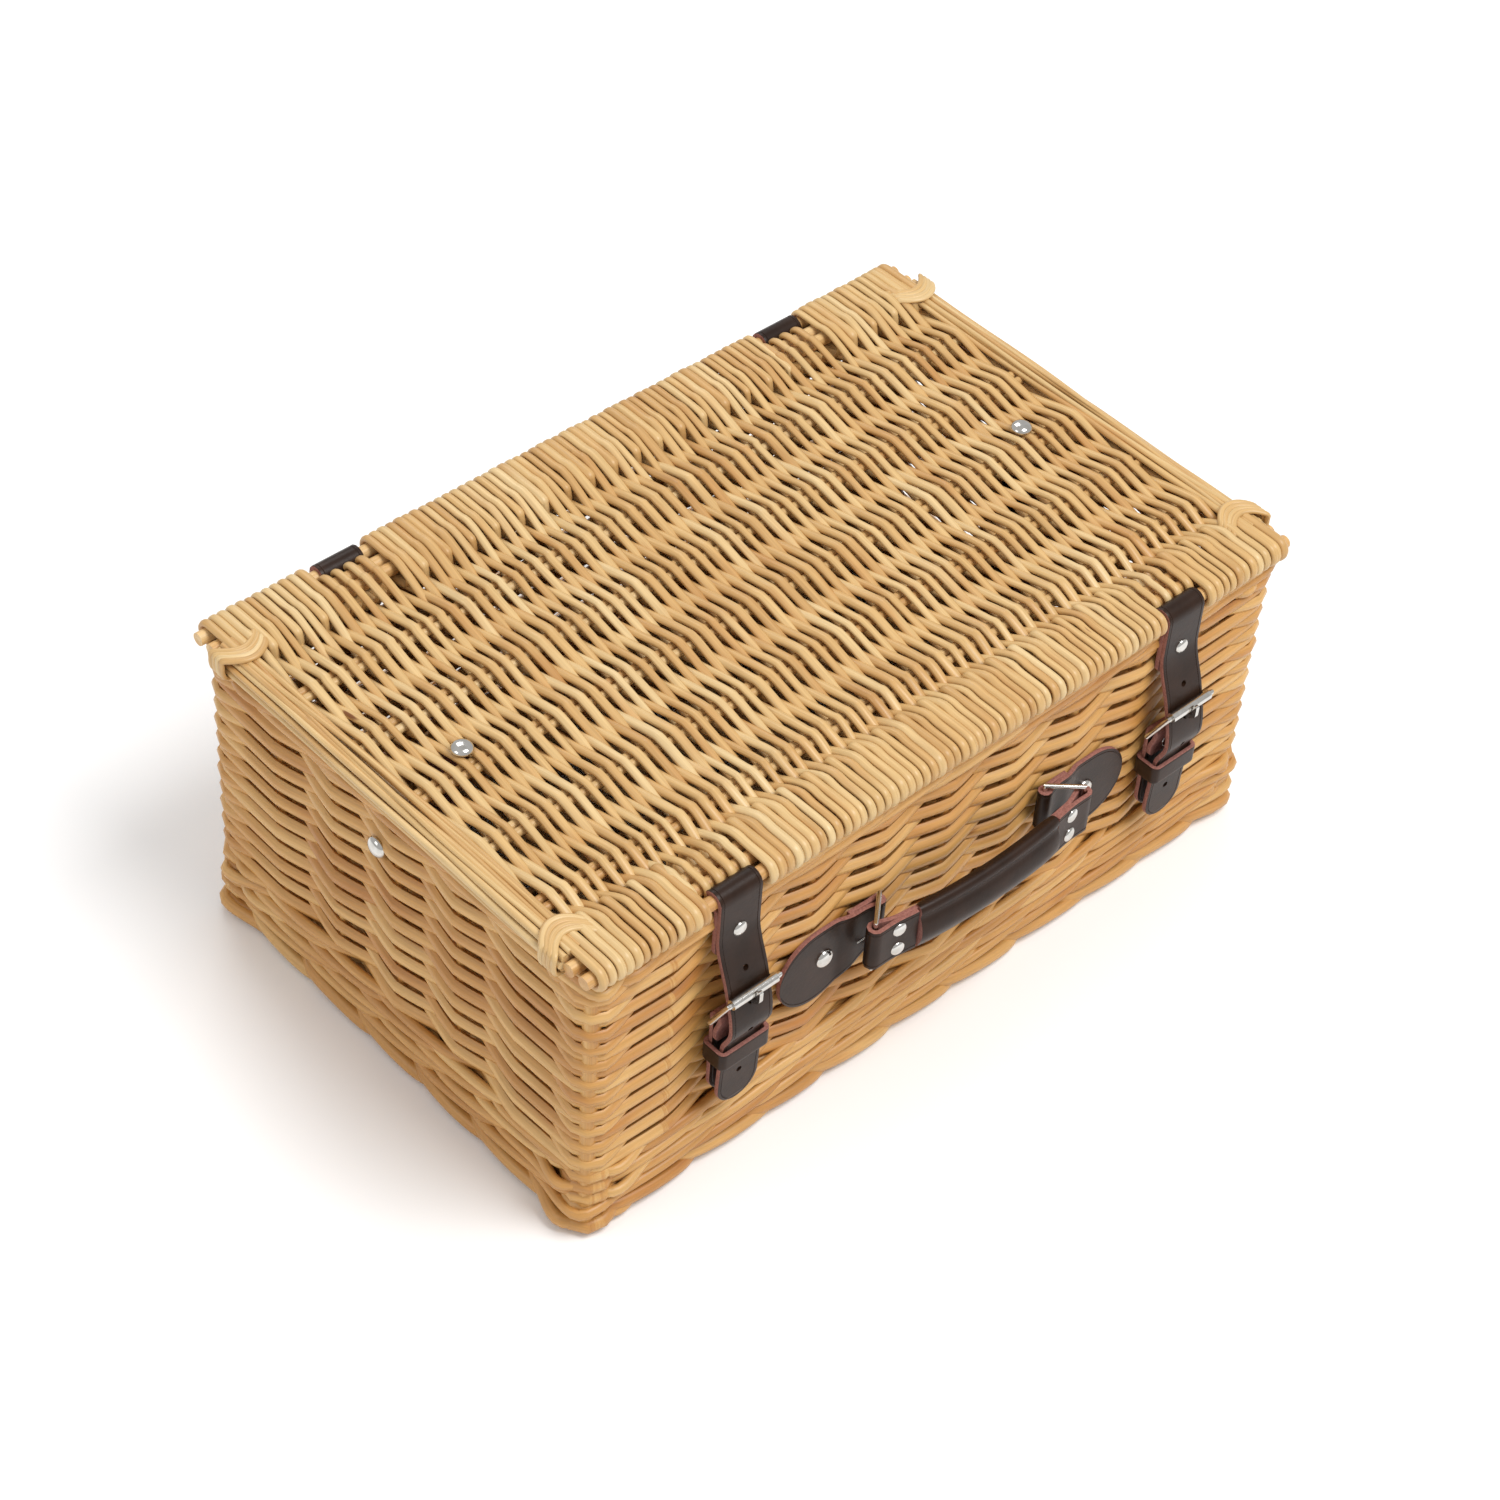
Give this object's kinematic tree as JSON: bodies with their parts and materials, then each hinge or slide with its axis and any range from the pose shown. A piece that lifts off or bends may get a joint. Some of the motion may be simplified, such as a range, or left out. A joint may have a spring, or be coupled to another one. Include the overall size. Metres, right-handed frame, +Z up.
{
  "type": "wicker picnic hamper",
  "caption": "Lidded rectangular willow hamper with a hinged lid, buckled leather straps and a leather carry handle on metal rings.",
  "frame": {"origin": "middle of the flat underside of the base", "axes": "+X along the long side to the right seen from the front, -Y out of the front with the handle and buckles, +Z up"},
  "size_m": [0.46, 0.3134, 0.193],
  "materials": {
    "willow_weave": "satin",
    "willow_rods": "satin",
    "leather": "satin",
    "nickel": "polished"
  },
  "bodies": {
    "basket": {"foot_border": "willow_rods", "base_weave": "willow_weave", "base_sticks": "willow_rods", "wall_front_weave": "willow_weave", "wall_back_weave": "willow_weave", "wall_left_weave": "willow_weave", "wall_right_weave": "willow_weave", "wall_stakes": "willow_rods", "corner_posts": "willow_rods", "rim_border": "willow_rods", "plate_staples": "nickel", "hinge_loop_left": "leather", "hinge_loop_right": "leather", "hinge_rivet_left": "nickel", "hinge_rivet_right": "nickel", "chape_left": "leather", "chape_right": "leather", "chape_rivet_left": "nickel", "chape_rivet_right": "nickel", "keeper_left": "leather", "keeper_right": "leather", "handle_plate_left": "leather", "handle_plate_right": "leather", "plate_stud_left": "nickel", "plate_stud_right": "nickel", "wall_stud_left": "nickel", "wall_stud_right": "nickel", "stay_left": "leather", "stay_right": "leather"},
    "lid": {"lid_weave": "willow_weave", "lid_front_stick": "willow_rods", "lid_front_inner_sticks": "willow_rods", "lid_back_stick": "willow_rods", "lid_back_inner_sticks": "willow_rods", "lid_stakes": "willow_rods", "lid_end_border_left": "willow_rods", "lid_end_border_right": "willow_rods", "lid_corner_bindings": "willow_rods", "lid_stud_left": "nickel", "lid_stud_right": "nickel"},
    "strap_left": {"strap_left": "leather", "strap_rivet_left": "nickel"},
    "buckle_left": {"buckle_frame_left": "nickel"},
    "roller_left": {"buckle_roller_left": "nickel"},
    "prong_left": {"buckle_prong_left": "nickel"},
    "ring_left": {"ring_left": "nickel"},
    "strap_right": {"strap_right": "leather", "strap_rivet_right": "nickel"},
    "buckle_right": {"buckle_frame_right": "nickel"},
    "roller_right": {"buckle_roller_right": "nickel"},
    "prong_right": {"buckle_prong_right": "nickel"},
    "ring_right": {"ring_right": "nickel"},
    "handle": {"handle_strap": "leather", "handle_grip": "leather", "handle_rivets": "nickel"}
  },
  "joints": [
    {"name": "lid_hinge", "type": "hinge", "parent": "basket", "child": "lid", "pos_m": [0, 0.139, 0.1835], "axis": [-1, 0, 0], "range_deg": [0, 105], "deforming": ["stay_left", "stay_right"]},
    {"name": "strap_left_swing", "type": "hinge", "parent": "lid", "child": "strap_left", "pos_m": [-0.141, -0.139, 0.1835], "axis": [-1, 0, 0], "range_deg": [0, 165]},
    {"name": "buckle_left_swing", "type": "hinge", "parent": "basket", "child": "buckle_left", "pos_m": [-0.141, -0.14635, 0.112], "axis": [1, 0, 0], "range_deg": [0, 60]},
    {"name": "prong_left_swing", "type": "hinge", "parent": "basket", "child": "prong_left", "pos_m": [-0.141, -0.14635, 0.112], "axis": [1, 0, 0], "range_deg": [0, 60]},
    {"name": "roller_left_spin", "type": "hinge", "parent": "buckle_left", "child": "roller_left", "pos_m": [-0.141, -0.15665, 0.131], "axis": [1, 0, 0], "continuous": true},
    {"name": "strap_right_swing", "type": "hinge", "parent": "lid", "child": "strap_right", "pos_m": [0.15, -0.139, 0.1835], "axis": [-1, 0, 0], "range_deg": [0, 165]},
    {"name": "buckle_right_swing", "type": "hinge", "parent": "basket", "child": "buckle_right", "pos_m": [0.15, -0.14635, 0.112], "axis": [1, 0, 0], "range_deg": [0, 60]},
    {"name": "prong_right_swing", "type": "hinge", "parent": "basket", "child": "prong_right", "pos_m": [0.15, -0.14635, 0.112], "axis": [1, 0, 0], "range_deg": [0, 60]},
    {"name": "roller_right_spin", "type": "hinge", "parent": "buckle_right", "child": "roller_right", "pos_m": [0.15, -0.15665, 0.131], "axis": [1, 0, 0], "continuous": true},
    {"name": "ring_left_swing", "type": "hinge", "parent": "basket", "child": "ring_left", "pos_m": [-0.049, -0.14385, 0.106], "axis": [0, 0, 1], "range_deg": [-10, 10]},
    {"name": "handle_pivot", "type": "hinge", "parent": "ring_left", "child": "handle", "pos_m": [-0.063, -0.15635, 0.106], "axis": [0, 0, 1], "range_deg": [-8, 8]},
    {"name": "ring_right_swing", "type": "hinge", "parent": "basket", "child": "ring_right", "pos_m": [0.063, -0.14385, 0.106], "axis": [0, 0, 1], "range_deg": [-10, 10]}
  ],
  "couplings": [
    {"joint": "buckle_left_swing", "follows": "strap_left_swing", "ratio": 0.36364},
    {"joint": "prong_left_swing", "follows": "strap_left_swing", "ratio": 0.36364},
    {"joint": "buckle_right_swing", "follows": "strap_right_swing", "ratio": 0.36364},
    {"joint": "prong_right_swing", "follows": "strap_right_swing", "ratio": 0.36364},
    {"joint": "handle_pivot", "follows": "ring_left_swing", "ratio": -0.8},
    {"joint": "ring_right_swing", "follows": "ring_left_swing", "ratio": 1}
  ]
}
